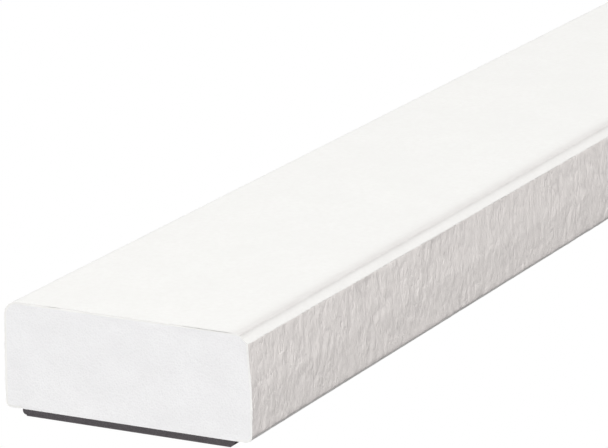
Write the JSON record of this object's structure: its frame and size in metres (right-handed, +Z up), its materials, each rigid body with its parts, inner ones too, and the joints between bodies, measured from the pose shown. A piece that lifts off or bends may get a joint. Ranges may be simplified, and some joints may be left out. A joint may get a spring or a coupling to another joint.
{
  "type": "foam buffer strip",
  "caption": "Self-adhesive rectangular foam buffer strip with a thin outer skin, a creased shoulder along one long edge and foam tape with a peel-off liner underneath.",
  "frame": {"origin": "middle of the underside, on the release liner's lower face", "axes": "+X along the length, -Y towards the long side with the creased shoulder, +Z up from the tape to the flat top"},
  "size_m": [1, 0.05, 0.0213],
  "materials": {
    "foam": "bare cut fine-cell foam",
    "skin": "matt, thin and slightly wrinkled",
    "adhesive": "glossy film",
    "carrier": "matt fine-cell foam",
    "liner": "thin satin film"
  },
  "bodies": {
    "bar": {"foam_core": "foam", "cover_skin": "skin", "upper_adhesive": "adhesive", "tape_carrier": "carrier", "lower_adhesive": "adhesive"},
    "liner": {"release_liner": "liner"}
  },
  "joints": [
    {"name": "liner_pull", "type": "slide", "parent": "bar", "child": "liner", "axis": [-1, 0, 0], "range_m": [0, 1.02]}
  ]
}
